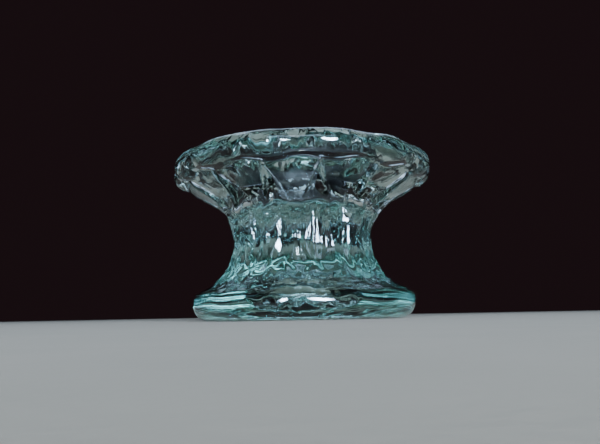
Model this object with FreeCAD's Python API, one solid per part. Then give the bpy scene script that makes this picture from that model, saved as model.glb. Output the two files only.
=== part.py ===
import FreeCAD, Part
import math
import os

# Pressed-glass tealight holder: a spool with a scalloped rim dish, a fluted waist and a round foot.
# A tealight stands in the pocket of the dish, and a shallow hollow is pressed into the foot's underside.
# Millimetres, +Z up. The origin is on the axis, at the table.

os.makedirs("parts", exist_ok=True)

# Glass: overall sizes
rim_radius = 40.3          # lobe tips of the rim
foot_radius = 33.4
waist_radius = 21.7
waist_height = 23.0        # narrowest level
waist_arc = 15.5           # radius of the waist's concave side, seen from the front
flare_angle = 26.4         # underside of the rim above the horizontal, in degrees
rim_roll = 4.2             # radius of the rolled edge
dish_angle = 22.0          # slope of the dish down to the pocket, in degrees

# Foot edge
foot_corner = 3.4          # radius where the edge meets the table
foot_edge_height = 4.4     # top of the upright part of the edge

# Pocket for the tealight, and the hollow in the underside
pocket_radius = 20.4
pocket_floor = 33.0
pocket_corner = 1.6
mouth_round = 1.2
hollow_radius = 11.1
hollow_depth = 6.5
hollow_corner = 3.0
hollow_mouth = 1.2

# Flutes and scallops run in the same number of steps round the axis
steps = 14
step_angle = 360.0 / steps
front = -90.0              # azimuth of the front, -Y
flute_radius = 7.4
flute_depth = 1.7
flute_twist = 8.2          # flutes stand this far round from the rim's valleys, in degrees
scallop_depth = 0.7
lobe_spare = 0.25          # the trimming lobes clear the rim's tips by this much

# Tealight
seat_gap = 0.1
cup_radius = 19.0
cup_height = 15.0
cup_wall = 0.3
cup_lip = 0.7              # how far the rolled lip stands out
cup_corner = 1.2
wax_height = 12.6          # above the underside of the cup
clip_radius = 6.4
clip_plate = 0.3
clip_neck_radius = 1.7
clip_neck_height = 4.0
wick_radius = 0.8
wick_above_wax = 6.0

UP = FreeCAD.Vector(0, 0, 1)
AXIS_POINT = FreeCAD.Vector(0, 0, 0)


def point(radius, height):
    """A point of a profile, which lies in the XZ plane."""
    return FreeCAD.Vector(radius, 0, height)


def on_circle(centre, radius, degrees):
    """The point of a profile circle at an angle above the outward direction."""
    angle = math.radians(degrees)
    return point(centre.x + radius * math.cos(angle), centre.z + radius * math.sin(angle))


def arc(centre, radius, start, end):
    """An arc of a profile circle from one angle to another, in degrees."""
    middle = on_circle(centre, radius, (start + end) / 2)
    return Part.Arc(on_circle(centre, radius, start), middle, on_circle(centre, radius, end)).toShape()


def line(start, end):
    return Part.LineSegment(start, end).toShape()


def revolve(edges):
    """The closed solid that a half profile makes when it turns about the axis."""
    wire = Part.Wire(Part.__sortEdges__(edges))
    return Part.Face(wire).revolve(AXIS_POINT, UP, 360)


def rounded_ring(start, corner, end, radius):
    """Two lines from start to end by way of a corner, with the corner rounded: their edges."""
    towards_start = (start - corner).normalize()
    towards_end = (end - corner).normalize()
    half_turn = towards_start.getAngle(towards_end) / 2
    reach = radius / math.tan(half_turn)
    first = corner + towards_start * reach
    last = corner + towards_end * reach
    bisector = (towards_start + towards_end).normalize()
    middle = corner + bisector * (radius / math.sin(half_turn) - radius)
    return [line(start, first), Part.Arc(first, middle, last).toShape()], last


def chain(points, radii):
    """Straight runs through points, with each inner corner rounded by its radius."""
    edges = []
    start = points[0]
    for corner, end, radius in zip(points[1:-1], points[2:], radii):
        new_edges, start = rounded_ring(start, corner, end, radius)
        edges += new_edges
    edges.append(line(start, points[-1]))
    return edges


def glass_blank():
    """The spool before fluting: foot, waist, flare, rolled rim, dish, pocket and hollow."""
    waist_centre = point(waist_radius + waist_arc, waist_height)

    # The foot's upper edge is an arc that is tangent to its upright edge and to the waist's arc.
    inward = waist_centre.x - foot_radius
    rise = waist_height - foot_edge_height
    edge_round = (inward ** 2 + rise ** 2 - waist_arc ** 2) / (2 * (waist_arc - inward))
    edge_centre = point(foot_radius - edge_round, foot_edge_height)
    join = math.degrees(math.atan2(rise, waist_centre.x - edge_centre.x))

    # The flare leaves the waist's arc in a straight line that is tangent to the rim's roll.
    flare = math.radians(flare_angle)
    flare_start = on_circle(waist_centre, waist_arc, 90 + flare_angle)
    roll_x = rim_radius - rim_roll
    flare_length = (roll_x - flare_start.x + rim_roll * math.sin(flare)) / math.cos(flare)
    flare_end = flare_start + point(math.cos(flare), math.sin(flare)) * flare_length
    roll_centre = flare_end + point(-math.sin(flare), math.cos(flare)) * rim_roll
    dish_start = on_circle(roll_centre, rim_roll, 90 + dish_angle)
    dish_drop = (dish_start.x - pocket_radius) * math.tan(math.radians(dish_angle))

    dish = chain(
        [
            dish_start,
            point(pocket_radius, dish_start.z - dish_drop),
            point(pocket_radius, pocket_floor),
            point(0, pocket_floor),
        ],
        [mouth_round, pocket_corner],
    )
    underside = chain(
        [
            point(0, hollow_depth),
            point(hollow_radius, hollow_depth),
            point(hollow_radius, 0),
            point(foot_radius, 0),
            point(foot_radius, foot_edge_height),
        ],
        [hollow_corner, hollow_mouth, foot_corner],
    )
    side = [
        arc(edge_centre, edge_round, 0, join),
        arc(waist_centre, waist_arc, 180 + join, 90 + flare_angle),
        line(flare_start, flare_end),
        arc(roll_centre, rim_roll, flare_angle - 90, 90 + dish_angle),
    ]
    axis = [line(point(0, pocket_floor), point(0, hollow_depth))]
    return revolve(underside + side + dish + axis)


def flutes():
    """One ring per flute. Its inner side follows the waist's arc and bites into the glass."""
    ring = Part.makeTorus(
        waist_arc + flute_depth - flute_radius,
        flute_radius,
        point(waist_radius + waist_arc, waist_height),
        FreeCAD.Vector(0, 1, 0),
    )
    rings = []
    for number in range(steps):
        copy = ring.copy()
        copy.rotate(AXIS_POINT, UP, front + flute_twist + number * step_angle)
        rings.append(copy)
    return rings


def scalloped_column():
    """An upright column of overlapping discs, which trims the rim to its shallow lobes."""
    half_step = math.radians(step_angle / 2)
    tip = rim_radius + lobe_spare
    valley = rim_radius - scallop_depth
    offset = (tip ** 2 - valley ** 2) / (2 * (tip - valley * math.cos(half_step)))
    height = 60.0
    discs = []
    for number in range(steps):
        azimuth = math.radians(front + (number + 0.5) * step_angle)
        centre = FreeCAD.Vector(offset * math.cos(azimuth), offset * math.sin(azimuth), 0)
        discs.append(Part.makeCylinder(tip - offset, height, centre, UP))
    return discs[0].multiFuse(discs[1:]).removeSplitter()


def holder():
    return glass_blank().cut(flutes()).common(scalloped_column()).removeSplitter()


cup_base = pocket_floor + seat_gap
cup_inside = cup_radius - cup_wall


def tealight_cup():
    """A thin drawn cup with a lip rolled outwards."""
    top = cup_base + cup_height
    lip_outer = cup_radius + cup_lip
    outside = chain(
        [point(0, cup_base), point(cup_radius, cup_base), point(cup_radius, top - cup_lip)],
        [cup_corner],
    )
    inside = chain(
        [point(cup_inside, top), point(cup_inside, cup_base + cup_wall), point(0, cup_base + cup_wall)],
        [cup_corner - cup_wall],
    )
    lip = [
        line(point(cup_radius, top - cup_lip), point(lip_outer, top - cup_lip)),
        line(point(lip_outer, top - cup_lip), point(lip_outer, top - cup_lip / 2)),
        Part.Arc(
            point(lip_outer, top - cup_lip / 2),
            on_circle(point(lip_outer - cup_lip / 2, top - cup_lip / 2), cup_lip / 2, 45),
            point(lip_outer - cup_lip / 2, top),
        ).toShape(),
        line(point(lip_outer - cup_lip / 2, top), point(cup_inside, top)),
    ]
    axis = [line(point(0, cup_base + cup_wall), point(0, cup_base))]
    return revolve(outside + lip + inside + axis)


def wick_clip():
    """The stamped plate on the cup's floor, with the neck that grips the wick."""
    floor = cup_base + cup_wall
    plate = Part.makeCylinder(clip_radius, clip_plate, point(0, floor), UP)
    neck = Part.makeCylinder(clip_neck_radius, clip_neck_height, point(0, floor), UP)
    bore = Part.makeCylinder(wick_radius, clip_neck_height, point(0, floor + clip_plate), UP)
    return plate.fuse(neck).cut(bore).removeSplitter()


def wick():
    foot = cup_base + cup_wall + clip_plate
    top = cup_base + wax_height + wick_above_wax
    return Part.makeCylinder(wick_radius, top - foot, point(0, foot), UP)


def wax():
    """The candle, cast round the clip and the wick."""
    floor = cup_base + cup_wall
    top = cup_base + wax_height
    outline = chain(
        [point(0, floor), point(cup_inside, floor), point(cup_inside, top)],
        [cup_corner - cup_wall],
    )
    outline += [line(point(cup_inside, top), point(0, top)), line(point(0, top), point(0, floor))]
    return revolve(outline).cut([wick_clip(), wick()])


sub_parts = {
    "glass_holder": holder(),
    "tealight_cup": tealight_cup(),
    "tealight_wax": wax(),
    "wick": wick(),
    "wick_clip": wick_clip(),
}
for name, shape in sub_parts.items():
    box = shape.BoundBox
    print(name, shape.isValid(), len(shape.Solids), round(shape.Volume, 1), "mm3",
          "z", round(box.ZMin, 2), round(box.ZMax, 2), "r", round(box.XMax, 2), "faces", len(shape.Faces))
    shape.exportStep("parts/" + name + ".step")
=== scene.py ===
import math

import bpy
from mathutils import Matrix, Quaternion, Vector, noise


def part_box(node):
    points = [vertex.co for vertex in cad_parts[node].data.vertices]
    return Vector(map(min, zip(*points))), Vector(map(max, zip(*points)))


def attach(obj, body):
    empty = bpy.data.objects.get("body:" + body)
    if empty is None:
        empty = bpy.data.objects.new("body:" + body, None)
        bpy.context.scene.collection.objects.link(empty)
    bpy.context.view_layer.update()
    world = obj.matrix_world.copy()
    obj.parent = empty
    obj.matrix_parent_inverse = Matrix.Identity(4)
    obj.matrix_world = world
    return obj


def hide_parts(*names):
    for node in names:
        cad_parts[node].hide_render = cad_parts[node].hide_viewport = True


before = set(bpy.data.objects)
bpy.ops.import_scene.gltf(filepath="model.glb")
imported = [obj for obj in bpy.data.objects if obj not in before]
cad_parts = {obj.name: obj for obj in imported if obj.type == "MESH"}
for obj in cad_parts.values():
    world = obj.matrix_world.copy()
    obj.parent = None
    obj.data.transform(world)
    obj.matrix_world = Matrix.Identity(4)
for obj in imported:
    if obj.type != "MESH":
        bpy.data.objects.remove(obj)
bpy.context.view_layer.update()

# Sizes are in millimetres and angles in degrees. MM turns them to the scene's metres.
MM = 0.001
front = -90                # azimuth of the front, -Y

# The glass spool, as in the frame
rim_radius = 40.3
foot_radius = 33.4
waist_radius = 21.7
waist_height = 23.0
waist_arc = 15.5
flare_angle = 26.4
rim_roll = 4.2
dish_angle = 22.0
foot_corner = 4.3
foot_edge_height = 4.4
pocket_radius = 20.4
pocket_floor = 33.0
pocket_corner = 1.6
mouth_round = 1.2
hollow_radius = 11.1
hollow_depth = 6.5
hollow_corner = 3.0
hollow_mouth = 1.2
pole = 0.6                 # the rings of a turned mesh stop this far from the axis

# Relief pressed into the glass, in the same number of steps all round
steps = 14
step_angle = 360 / steps
points_per_step = 32
rib_depth = (1.0, 3.4)     # up to the waist, and at the flare, where valleys cut into the pocket
foot_fade = (5.0, 15.0)    # heights between which the flutes begin
flare_fade = (31.0, 40.5)  # where a flute runs out, on its ribs and in its valley, so that it ends in a point
flute_end = 2.2            # height that it takes to run out
flute_twist = 8.2          # the flutes' valleys stand this many degrees round from the rim's
scallop_depth = 0.7
scallop_inset = (6.0, 1.0)  # from the rim's edge, where the scallops begin and are full
scallop_rise = 0.8
rise_inset = (9.0, 4.0)    # the same for their rise
rise_fade = (42.0, 48.0)   # heights between which the rise runs out
crease_radius = 36.0       # where the rolled edge meets the flare
crease_width = 1.1
crease_depth = 0.6
crease_swing = 0.8         # the crease wanders up and down with the scallops

# Unevenness that the hot glass keeps: broad waves, dimples, and narrow sharp folds that run up and down
wave_length = 9.0
wave_height = 0.4
foot_calm = 0.3            # share of the waves that is left on the foot
calm_fade = (5.0, 12.0)    # heights between which the calm foot ends
dimple_length = 3.0
dimple_height = 0.15
rough_floor = 5.0          # the pocket's floor and the hollow have dimples this many times as deep
rough_fade = (33.5, 38.0)  # heights between which the pocket's wall grows smooth
fold_width = 2.6
fold_length = 12.0
fold_height = 1.3
noise_lift = 0.6           # noise runs from about -0.5 to 0.5, and this keeps the glass inside its outline
worked_start = (7.0, 13.0)  # heights between which the dimples and folds begin above the foot
worked_end = (33.0, 36.0)  # and where they end at the flare
worked_rim = (43.0, 45.0)  # the rim has this share of them, from here up
worked_rim_share = 0.2
flat_foot = 2.0            # the relief grows from nothing at the table to all of it at this height

# Tealight
cup_low, cup_high = (corner.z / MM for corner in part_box("tealight_cup"))
wax_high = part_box("tealight_wax")[1].z / MM
wick_low, wick_high = (corner.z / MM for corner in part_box("wick"))
clip_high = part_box("wick_clip")[1].z / MM
cup_radius = 19.0
cup_wall = 0.3
cup_lip = 0.7
cup_corner = 1.2
clip_radius = 6.4
clip_plate = 0.3
clip_neck_radius = 1.7
bead_radius = 11.0         # of the round bead stamped in the cup's base, clear of the clip's plate
bead_half = 1.0
bead_rise = 0.25
wax_clear = 0.3            # the wax's underside stands this far above the cup's base, over the bead
wax_gap = 0.03
wax_sunk = 0.55
wax_cling = (1.3, 0.9)     # the sunken top rises again within about this far of the cup and of the wick
wax_ring = 0.35            # spacing of the rings on the wax's top
wick_radius = 0.8
wick_strands = 3           # that run round each way
wick_twist = 2.6           # length of braid in which a strand goes round once
wick_relief = 0.3          # of its radius
wick_lean = 0.9
wick_tip = 0.3             # radius of its trimmed end
wick_pole = 0.1            # its rings stop this far from its axis


# ---------------------------------------------------------------- profiles

def on_circle(centre, radius, degrees):
    angle = math.radians(degrees)
    return (centre[0] + radius * math.cos(angle), centre[1] + radius * math.sin(angle))


def arc(centre, radius, start, end, count):
    """Points of a circle in a half profile, from one angle to another."""
    return [on_circle(centre, radius, start + (end - start) * i / count) for i in range(count + 1)]


def run(start, end, spacing):
    """Evenly spaced points on a straight run, both ends included."""
    count = max(1, round(math.dist(start, end) / spacing))
    return [tuple(a + (b - a) * i / count for a, b in zip(start, end)) for i in range(count + 1)]


def joined(*stretches):
    """One profile from stretches that each start where the last one ends."""
    profile = list(stretches[0])
    for stretch in stretches[1:]:
        profile += stretch[1:]
    return profile


def smooth(low, high, value):
    """0 below low, 1 above high, and an easy curve between."""
    t = min(1.0, max(0.0, (value - low) / (high - low)))
    return t * t * (3 - 2 * t)


def spool_profile():
    """The glass's half profile, from the hollow's middle round the outside to the pocket's middle."""
    waist_centre = (waist_radius + waist_arc, waist_height)
    inward = waist_centre[0] - foot_radius
    rise = waist_height - foot_edge_height
    edge_round = (inward ** 2 + rise ** 2 - waist_arc ** 2) / (2 * (waist_arc - inward))
    edge_centre = (foot_radius - edge_round, foot_edge_height)
    join = math.degrees(math.atan2(rise, waist_centre[0] - edge_centre[0]))

    flare = math.radians(flare_angle)
    flare_start = on_circle(waist_centre, waist_arc, 90 + flare_angle)
    flare_length = (rim_radius - rim_roll - flare_start[0] + rim_roll * math.sin(flare)) / math.cos(flare)
    flare_end = on_circle(flare_start, flare_length, flare_angle)
    roll_centre = on_circle(flare_end, rim_roll, 90 + flare_angle)
    dish_start = on_circle(roll_centre, rim_roll, 90 + dish_angle)
    mouth_height = dish_start[1] - (dish_start[0] - pocket_radius) * math.tan(math.radians(dish_angle))
    mouth_reach = mouth_round * math.tan(math.radians(90 - dish_angle) / 2)
    mouth_centre = (pocket_radius + mouth_round, mouth_height - mouth_reach)

    hollow_turn = (hollow_radius - hollow_corner, hollow_depth - hollow_corner)
    pocket_turn = (pocket_radius - pocket_corner, pocket_floor + pocket_corner)
    mouth_end = on_circle(mouth_centre, mouth_round, 90 + dish_angle)
    return joined(
        run((pole, hollow_depth), (hollow_turn[0], hollow_depth), 1.2),
        arc(hollow_turn, hollow_corner, 90, 0, 7),
        run((hollow_radius, hollow_turn[1]), (hollow_radius, hollow_mouth), 1.1),
        arc((hollow_radius + hollow_mouth, hollow_mouth), hollow_mouth, 180, 270, 5),
        run((hollow_radius + hollow_mouth, 0), (foot_radius - foot_corner, 0), 1.8),
        arc((foot_radius - foot_corner, foot_corner), foot_corner, -90, 0, 10),
        run((foot_radius, foot_corner), (foot_radius, foot_edge_height), 0.5),
        arc(edge_centre, edge_round, 0, join, 14),
        arc(waist_centre, waist_arc, 180 + join, 90 + flare_angle, 58),
        run(flare_start, flare_end, 0.4),
        arc(roll_centre, rim_roll, flare_angle - 90, 90 + dish_angle, 26),
        run(dish_start, mouth_end, 1.0),
        arc(mouth_centre, mouth_round, 90 + dish_angle, 180, 5),
        run((pocket_radius, mouth_centre[1]), (pocket_radius, pocket_turn[1]), 1.1),
        arc(pocket_turn, pocket_corner, 0, -90, 5),
        run((pocket_turn[0], pocket_floor), (pole, pocket_floor), 1.6),
    )


def profile_normals(profile, closed=False):
    """Outward unit normals of a half profile that runs anticlockwise round its material."""
    ends = (profile[-1], profile[0]) if closed else (profile[0], profile[-1])
    normals = []
    for before, after in zip([ends[0]] + profile[:-1], profile[1:] + [ends[1]]):
        along = (after[0] - before[0], after[1] - before[1])
        length = math.hypot(*along)
        normals.append((along[1] / length, -along[0] / length))
    return normals


# ---------------------------------------------------------------- glass relief

def flute(azimuth, radius, height):
    """Depth below the ribs, which are full and round with sharp valleys, from the foot to the flare."""
    turn = (azimuth - front - flute_twist) / step_angle
    from_rib = 2 * abs(turn - math.floor(turn) - 0.5)
    tip = flare_fade[0] + (flare_fade[1] - flare_fade[0]) * from_rib ** 1.5
    share = smooth(*foot_fade, height) * (1 - smooth(tip - flute_end, tip, height))
    deepest = rib_depth[0] + (rib_depth[1] - rib_depth[0]) * smooth(waist_height, pocket_floor, height)
    return deepest * share * from_rib ** 2


def scallop(azimuth):
    """From 1 in the rim's valleys to 0 on its lobes."""
    turn = (azimuth - front) / step_angle
    return (1 + math.cos(2 * math.pi * turn)) / 2


def crease(azimuth, radius):
    """Depth of the soft crease under the rolled edge."""
    line = crease_radius + crease_swing * (scallop(azimuth) - 0.5)
    return crease_depth * math.exp(-((radius - line) / crease_width) ** 2)


def unevenness(x, y, z, hidden):
    """Depth of the waves, dimples and upright folds in the glass. Hidden surfaces have no folds."""
    place = Vector((x, y, z))
    calm = foot_calm + (1 - foot_calm) * smooth(*calm_fade, z)
    waves = wave_height * (noise.noise(place / wave_length) + noise_lift) * calm
    dimples = dimple_height * (noise.noise(place / dimple_length) + noise_lift)
    if hidden:
        return waves + rough_floor * dimples * (1 - smooth(*rough_fade, z))
    folds = fold_height * abs(noise.noise(Vector((x / fold_width, y / fold_width, z / fold_length))))
    on_side = smooth(*worked_start, z) * (1 - smooth(*worked_end, z))
    on_rim = worked_rim_share * smooth(*worked_rim, z)
    return waves + (dimples + folds) * (on_side + on_rim)


def glass_point(azimuth, radius, height, normal):
    """A point of the fluted, scalloped and slightly uneven glass."""
    angle = math.radians(azimuth)
    outside = normal[0] > 0 and radius > hollow_radius + hollow_mouth
    x, y = radius * math.cos(angle), radius * math.sin(angle)
    depth = unevenness(x, y, height, radius <= pocket_radius and not outside) * smooth(0.0, flat_foot, height)
    if outside:
        depth += flute(azimuth, radius, height)
        if height > waist_height and normal[1] < 0:
            depth += crease(azimuth, radius)
    valley = scallop(azimuth)
    r = radius - depth * normal[0]
    r -= scallop_depth * valley * smooth(*(rim_radius - inset for inset in scallop_inset), radius)
    z = height - depth * normal[1]
    if outside:
        near_rim = smooth(*(rim_radius - inset for inset in rise_inset), radius)
        z += scallop_rise * valley * near_rim * (1 - smooth(*rise_fade, height))
    return (r * math.cos(angle), r * math.sin(angle), z)


# ---------------------------------------------------------------- tealight shapes

def bead(height):
    """Section of the round bead, from its inner side to its outer side, in sheet that lies at a height."""
    shape = ((-1, 0), (-0.5, 0.7), (0, 1), (0.5, 0.7), (1, 0))
    return [(bead_radius + reach * bead_half, height + lift * bead_rise) for reach, lift in shape]


def cup_profile():
    """Thin drawn cup, from the middle of its base round the curled lip and back to the middle inside."""
    top, floor = cup_high, cup_low + cup_wall
    inside = cup_radius - cup_wall
    curl = cup_lip / 2
    corner = (cup_radius - cup_corner, cup_low + cup_corner)
    return joined(
        run((pole, cup_low), (bead_radius - bead_half, cup_low), 1.6),
        bead(cup_low),
        run((bead_radius + bead_half, cup_low), (corner[0], cup_low), 1.6),
        arc(corner, cup_corner, -90, 0, 8),
        run((cup_radius, corner[1]), (cup_radius, top - curl), 1.5),
        arc((cup_radius + curl, top - curl), curl, 180, 450, 16),
        run((cup_radius + curl, top), (cup_radius, top), 0.2),
        arc((cup_radius, top - cup_wall), cup_wall, 90, 180, 5),
        run((inside, top - cup_wall), (inside, floor + cup_corner - cup_wall), 1.5),
        arc(corner, cup_corner - cup_wall, 0, -90, 7),
        run((corner[0], floor), (bead_radius + bead_half, floor), 1.6),
        bead(floor)[::-1],
        run((bead_radius - bead_half, floor), (pole, floor), 1.6),
    )


def wax_profile():
    """A ring of wax round the wick and clip. Its top sank as it set, and clings to the cup and the wick."""
    wall = cup_radius - cup_wall - wax_gap
    bore = wick_radius + wax_gap
    floor = cup_low + cup_wall + wax_clear
    corner = cup_corner - cup_wall
    clip_top = clip_high + wax_gap
    top = []
    radius = wall
    while radius > bore:
        sunk = (1 - math.exp((radius - wall) / wax_cling[0])) * (1 - math.exp((bore - radius) / wax_cling[1]))
        top.append((radius, wax_high - wax_sunk * sunk))
        radius -= wax_ring
    top.append((bore, wax_high))
    plate, neck = clip_radius + wax_gap, clip_neck_radius + wax_gap
    plate_top = floor + clip_plate
    return joined(
        run((plate, floor), (wall - corner, floor), 1.5),
        arc((wall - corner, floor + corner), corner, -90, 0, 5),
        run((wall, floor + corner), top[0], 1.5),
        top,
        run(top[-1], (bore, clip_top), 1.2),
        run((bore, clip_top), (neck, clip_top), 0.5),
        run((neck, clip_top), (neck, plate_top), 1.0),
        run((neck, plate_top), (plate, plate_top), 1.2),
    )


def wick_profile():
    return joined(
        run((wick_pole, wick_low), (wick_radius, wick_low), 0.3),
        run((wick_radius, wick_low), (wick_radius, wick_high - wick_tip), wick_twist / 16),
        arc((wick_radius - wick_tip, wick_high - wick_tip), wick_tip, 0, 90, 4),
        run((wick_radius - wick_tip, wick_high), (wick_pole, wick_high), 0.2),
    )


def wick_point(azimuth, radius, height, normal):
    """The braid's strands stand out where its two sets of helices run, and its free end leans over."""
    angle = math.radians(azimuth)
    turn = 2 * math.pi * height / wick_twist
    across = wick_strands / 2 * angle
    strands = max(abs(math.cos(across + turn)), abs(math.cos(across - turn)))
    r = radius * (1 - wick_relief * (1 - strands))
    lean = wick_lean * smooth(wax_high, wick_high, height) ** 1.5
    return (r * math.cos(angle) + lean, r * math.sin(angle), height)


# ---------------------------------------------------------------- meshes

def plain_point(azimuth, radius, height, normal):
    angle = math.radians(azimuth)
    return (radius * math.cos(angle), radius * math.sin(angle), height)


def turned_mesh(name, profile, count, place=plain_point, closed=False):
    """Turns a half profile about the axis. A closed one makes a ring, and an open one gets two end points."""
    verts = []
    for (radius, height), normal in zip(profile, profile_normals(profile, closed)):
        verts += [place(front + 360 * i / count, radius, height, normal) for i in range(count)]
    rings = len(profile)
    faces = []
    for ring in range(rings if closed else rings - 1):
        low, high = ring * count, (ring + 1) % rings * count
        for i in range(count):
            j = (i + 1) % count
            faces.append((low + i, low + j, high + j, high + i))
    for ring in () if closed else (0, rings - 1):
        first, middle = ring * count, len(verts)
        middle_height = sum(vert[2] for vert in verts[first:first + count]) / count
        verts.append((0.0, 0.0, middle_height))
        for i in range(count):
            corners = (first + i, first + (i + 1) % count, middle)
            faces.append(corners if ring else corners[::-1])
    return new_piece(name, verts, faces)


def new_piece(name, verts, faces):
    mesh = bpy.data.meshes.new(name)
    mesh.from_pydata([tuple(c * MM for c in vert) for vert in verts], [], faces)
    mesh.polygons.foreach_set("use_smooth", [True] * len(mesh.polygons))
    mesh.update()
    piece = bpy.data.objects.new(name, mesh)
    bpy.context.scene.collection.objects.link(piece)
    return piece


# ---------------------------------------------------------------- materials

def colour(hex_code):
    """Linear RGBA from an sRGB hex code."""
    channels = [int(hex_code[i:i + 2], 16) / 255 for i in (1, 3, 5)]
    linear = [c / 12.92 if c <= 0.04045 else ((c + 0.055) / 1.055) ** 2.4 for c in channels]
    return (*linear, 1.0)


def add_node(tree, kind, settings=None, **links):
    """Adds a node. Settings give attributes, and sockets by name or number. Links join sockets to outputs."""
    node = tree.nodes.new(kind)
    for key, value in (settings or {}).items():
        if isinstance(key, str) and hasattr(node, key):
            setattr(node, key, value)
        else:
            node.inputs[key].default_value = value
    for key, output in links.items():
        tree.links.new(output, node.inputs[key.replace("_", " ")])
    return node


def new_material(name):
    material = bpy.data.materials.new(name)
    material.use_nodes = True
    material.node_tree.nodes.clear()
    return material, material.node_tree


# Numbers of the Mix node's two colour sockets, which share their names with others
first_tone, second_tone = 6, 7


def per_mm(size):
    """Texture scale whose pattern repeats about once in this many millimetres."""
    return 1 / (size * MM)


def body_space(tree, squeeze=(1, 1, 1)):
    """Position on the object, in metres. It is squeezed along an axis to draw a pattern out along it."""
    place = add_node(tree, "ShaderNodeTexCoord")
    return add_node(tree, "ShaderNodeMapping", {"Scale": squeeze}, Vector=place.outputs["Object"]).outputs[0]


def pressed_soda_lime_glass():
    """Soda-lime glass with a trace of iron, pressed in a mould and fire polished.

    It is clear in thin places and teal where the light goes a long way through it. Fire polishing leaves a
    liquid gloss over faint ripples about 3 mm apart, which make thin bright lines tremble.
    """
    material, tree = new_material("pressed_soda_lime_glass")
    place = body_space(tree, (1, 1, 0.5))
    ripple = add_node(tree, "ShaderNodeTexNoise", {"Scale": per_mm(3.0), "Detail": 1.5}, Vector=place)
    relief = add_node(
        tree, "ShaderNodeBump", {"Strength": 0.25, "Distance": 0.1 * MM}, Height=ripple.outputs[0],
    )
    shader = add_node(tree, "ShaderNodeBsdfPrincipled", {
        "Base Color": colour("#ffffff"),
        "Roughness": 0.0,
        "IOR": 1.52,
        "Transmission Weight": 1.0,
    }, Normal=relief.outputs[0])
    tint = add_node(tree, "ShaderNodeVolumeAbsorption", {"Color": (0.60, 0.93, 0.88, 1.0), "Density": 28.0})
    add_node(tree, "ShaderNodeOutputMaterial", Surface=shader.outputs[0], Volume=tint.outputs[0])
    return material


def black_lacquered_aluminium():
    """Thin aluminium sheet, deep drawn and coated with satin black lacquer.

    The lacquer is a deep near-black with a soft gloss. The draw marks run up and down the wall 0.4 mm
    apart, and handling has rubbed soft cloudy patches a little smoother than the rest.
    """
    material, tree = new_material("black_lacquered_aluminium")
    clouds = add_node(
        tree, "ShaderNodeTexNoise", {"Scale": per_mm(6.0), "Detail": 3.0}, Vector=body_space(tree),
    )
    marks = add_node(
        tree, "ShaderNodeTexNoise", {"Scale": per_mm(0.4), "Detail": 2.0},
        Vector=body_space(tree, (1, 1, 0.04)),
    )
    tone = add_node(tree, "ShaderNodeMix", {
        "data_type": "RGBA", first_tone: colour("#08080a"), second_tone: colour("#0e0e10"),
    }, Factor=clouds.outputs[0])
    gloss = add_node(tree, "ShaderNodeMapRange", {"To Min": 0.26, "To Max": 0.4}, Value=clouds.outputs[0])
    relief = add_node(
        tree, "ShaderNodeBump", {"Strength": 0.3, "Distance": 0.03 * MM}, Height=marks.outputs[0],
    )
    shader = add_node(tree, "ShaderNodeBsdfPrincipled", {
        "IOR": 1.48,
    }, Base_Color=tone.outputs[2], Roughness=gloss.outputs[0], Normal=relief.outputs[0])
    add_node(tree, "ShaderNodeOutputMaterial", Surface=shader.outputs[0])
    return material


def paraffin_wax():
    """Fully refined paraffin wax, cast in its cup.

    It is ivory white and lets light a few millimetres in, so its edges glow. As it set, crystals bloomed in
    pale patches 2 mm across, and the skin took a faint orange peel and a soft sheen.
    """
    material, tree = new_material("paraffin_wax")
    place = body_space(tree)
    bloom = add_node(tree, "ShaderNodeTexNoise", {"Scale": per_mm(2.0), "Detail": 4.0}, Vector=place)
    peel = add_node(tree, "ShaderNodeTexNoise", {"Scale": per_mm(1.2), "Detail": 2.0}, Vector=place)
    tone = add_node(tree, "ShaderNodeMix", {
        "data_type": "RGBA", first_tone: colour("#e6dfcd"), second_tone: colour("#f5f1e6"),
    }, Factor=bloom.outputs[0])
    gloss = add_node(tree, "ShaderNodeMapRange", {"To Min": 0.34, "To Max": 0.52}, Value=bloom.outputs[0])
    relief = add_node(
        tree, "ShaderNodeBump", {"Strength": 0.35, "Distance": 0.08 * MM}, Height=peel.outputs[0],
    )
    shader = add_node(tree, "ShaderNodeBsdfPrincipled", {
        "IOR": 1.44,
        "Subsurface Weight": 0.5,
        "Subsurface Radius": (1.0, 0.8, 0.55),
        "Subsurface Scale": 3.0 * MM,
    }, Base_Color=tone.outputs[2], Roughness=gloss.outputs[0], Normal=relief.outputs[0])
    add_node(tree, "ShaderNodeOutputMaterial", Surface=shader.outputs[0])
    return material


def waxed_cotton():
    """Braided cotton yarn, dipped in wax.

    The strands are warm off-white, with fine fibres 0.15 mm apart along them that make the tone vary a
    little.
    The wax leaves them dull rather than fluffy.
    """
    material, tree = new_material("waxed_cotton")
    fibres = add_node(
        tree, "ShaderNodeTexNoise", {"Scale": per_mm(0.15), "Detail": 2.0},
        Vector=body_space(tree, (1, 1, 0.3)),
    )
    tone = add_node(tree, "ShaderNodeMix", {
        "data_type": "RGBA", first_tone: colour("#cfc4ae"), second_tone: colour("#ece5d6"),
    }, Factor=fibres.outputs[0])
    relief = add_node(
        tree, "ShaderNodeBump", {"Strength": 0.5, "Distance": 0.05 * MM}, Height=fibres.outputs[0],
    )
    shader = add_node(tree, "ShaderNodeBsdfPrincipled", {
        "Roughness": 0.72,
        "Sheen Weight": 0.2,
    }, Base_Color=tone.outputs[2], Normal=relief.outputs[0])
    add_node(tree, "ShaderNodeOutputMaterial", Surface=shader.outputs[0])
    return material


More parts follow.
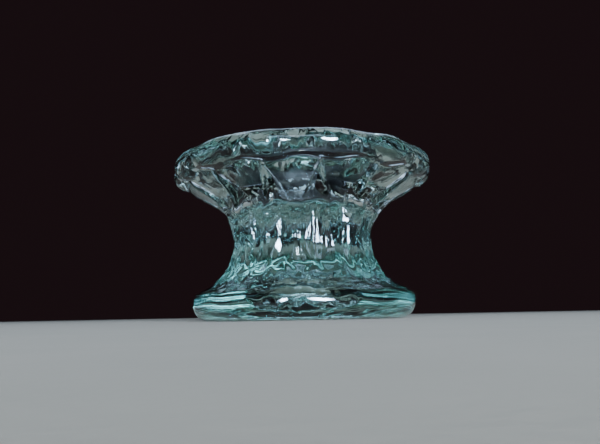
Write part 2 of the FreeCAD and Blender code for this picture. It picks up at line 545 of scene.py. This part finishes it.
def stamped_tinplate():
    """Thin steel with a tin coating, stamped.

    It is a cool light grey metal with rolling lines 0.2 mm apart and cloudy patches where the tin is duller.
    """
    material, tree = new_material("stamped_tinplate")
    clouds = add_node(
        tree, "ShaderNodeTexNoise", {"Scale": per_mm(2.5), "Detail": 3.0}, Vector=body_space(tree),
    )
    lines = add_node(
        tree, "ShaderNodeTexNoise", {"Scale": per_mm(0.2), "Detail": 2.0},
        Vector=body_space(tree, (0.05, 1, 1)),
    )
    gloss = add_node(tree, "ShaderNodeMapRange", {"To Min": 0.26, "To Max": 0.46}, Value=clouds.outputs[0])
    relief = add_node(
        tree, "ShaderNodeBump", {"Strength": 0.3, "Distance": 0.02 * MM}, Height=lines.outputs[0],
    )
    shader = add_node(tree, "ShaderNodeBsdfPrincipled", {
        "Base Color": colour("#b9babd"),
        "Metallic": 1.0,
    }, Roughness=gloss.outputs[0], Normal=relief.outputs[0])
    add_node(tree, "ShaderNodeOutputMaterial", Surface=shader.outputs[0])
    return material


def matt_pale_board():
    """Pale painted board under the object: matt, with a faint mottle 8 mm across and a fine tooth."""
    material, tree = new_material("matt_pale_board")
    place = body_space(tree)
    mottle = add_node(tree, "ShaderNodeTexNoise", {"Scale": per_mm(8.0), "Detail": 4.0}, Vector=place)
    tooth = add_node(tree, "ShaderNodeTexNoise", {"Scale": per_mm(0.5), "Detail": 2.0}, Vector=place)
    tone = add_node(tree, "ShaderNodeMix", {
        "data_type": "RGBA", first_tone: colour("#736959"), second_tone: colour("#7c7262"),
    }, Factor=mottle.outputs[0])
    relief = add_node(
        tree, "ShaderNodeBump", {"Strength": 0.2, "Distance": 0.05 * MM}, Height=tooth.outputs[0],
    )
    shader = add_node(tree, "ShaderNodeBsdfPrincipled", {
        "Roughness": 0.9,
    }, Base_Color=tone.outputs[2], Normal=relief.outputs[0])
    add_node(tree, "ShaderNodeOutputMaterial", Surface=shader.outputs[0])
    return material


# ---------------------------------------------------------------- pieces

def fit(piece, body, node, material):
    """Puts a piece in a CAD node's place."""
    piece.data.materials.append(material)
    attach(piece, body)
    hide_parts(node)


glass = turned_mesh("pressed_glass_spool", spool_profile(), steps * points_per_step, glass_point)
fit(glass, "holder", "glass_holder", pressed_soda_lime_glass())

cup = turned_mesh("drawn_tealight_cup", cup_profile(), 180)
fit(cup, "tealight", "tealight_cup", black_lacquered_aluminium())

wax = turned_mesh("cast_tealight_wax", wax_profile(), 180, closed=True)
fit(wax, "tealight", "tealight_wax", paraffin_wax())

wick = turned_mesh("braided_wick", wick_profile(), 36, wick_point)
fit(wick, "tealight", "wick", waxed_cotton())

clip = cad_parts["wick_clip"]
clip.data.materials.clear()
clip.data.materials.append(stamped_tinplate())


# ---------------------------------------------------------------- stage

def soft_light(name, azimuth, elevation, distance, width, height, radiance, hex_code):
    """A soft light that faces the object, with azimuth 0 the front. It fades towards its edges."""
    data = bpy.data.lights.new(name, "AREA")
    data.shape = "ELLIPSE"
    data.size, data.size_y = width, height
    data.energy = radiance * width * height * math.pi
    data.color = colour(hex_code)[:3]
    data.use_nodes = True
    tree = data.node_tree
    place = add_node(tree, "ShaderNodeNewGeometry")
    from_middle = add_node(
        tree, "ShaderNodeVectorMath", {"operation": "DISTANCE", 1: (0.5, 0.5, 0.0)},
        Vector=place.outputs["Parametric"],
    )
    fade = add_node(tree, "ShaderNodeMapRange", {
        "interpolation_type": "SMOOTHSTEP", "From Min": 0.5, "From Max": 0.2, "To Min": 0.0, "To Max": 1.0,
    }, Value=from_middle.outputs["Value"])
    tree.links.new(fade.outputs[0], tree.nodes["Emission"].inputs["Strength"])
    light = bpy.data.objects.new(name, data)
    bpy.context.scene.collection.objects.link(light)
    around, up = math.radians(azimuth), math.radians(elevation)
    target = Vector((0, 0, 0.025))
    away = Vector((math.sin(around) * math.cos(up), -math.cos(around) * math.cos(up), math.sin(up)))
    light.location = target + away * distance
    light.rotation_mode = "QUATERNION"
    light.rotation_quaternion = away.to_track_quat("Z", "Y")
    light.visible_camera = False
    return light


def pale_floor():
    """Reaches out of every view, and lies just under the foot, so that the two surfaces don't flicker."""
    reach = 6000
    gap = 0.2
    corners = [(-reach, -reach, 0), (reach, -reach, 0), (reach, reach, 0), (-reach, reach, 0)]
    floor = new_piece("floor", corners, [(0, 1, 2, 3)])
    floor.location.z = -gap * MM
    floor.data.materials.append(matt_pale_board())
    return floor


def camera():
    """In front, just above the floor, looking slightly up, and turned a little about its line of sight."""
    place = (-0.8, -178, 1.0)
    tilt_up, roll = 9.2, -1.1
    data = bpy.data.cameras.new("camera")
    data.sensor_width = 36
    data.lens = 34.7
    data.clip_start = 1 * MM
    view = bpy.data.objects.new("camera", data)
    bpy.context.scene.collection.objects.link(view)
    view.location = [c * MM for c in place]
    aim = Vector((0, 1, math.tan(math.radians(tilt_up))))
    view.rotation_mode = "QUATERNION"
    view.rotation_quaternion = aim.to_track_quat("-Z", "Y") @ Quaternion((0, 0, 1), math.radians(roll))
    bpy.context.scene.camera = view


def surroundings():
    world = bpy.data.worlds.new("dark_room")
    world.use_nodes = True
    world.node_tree.nodes["Background"].inputs["Color"].default_value = colour("#1d1316")
    world.node_tree.nodes["Background"].inputs["Strength"].default_value = 1.0
    bpy.context.scene.world = world


camera()
surroundings()
pale_floor()
soft_light("left_softbox", -20, 12, 1.5, 0.23, 0.6, 200.0, "#cbe2ff")
soft_light("right_softbox", 16, 12, 1.5, 0.75, 0.6, 200.0, "#cbe2ff")
soft_light("high_front_softbox", 0, 38, 1.5, 1.5, 0.62, 4.0, "#cbe2ff")
soft_light("top_back_softbox", 180, 50, 1.5, 2.25, 0.88, 1.5, "#c6dfff")
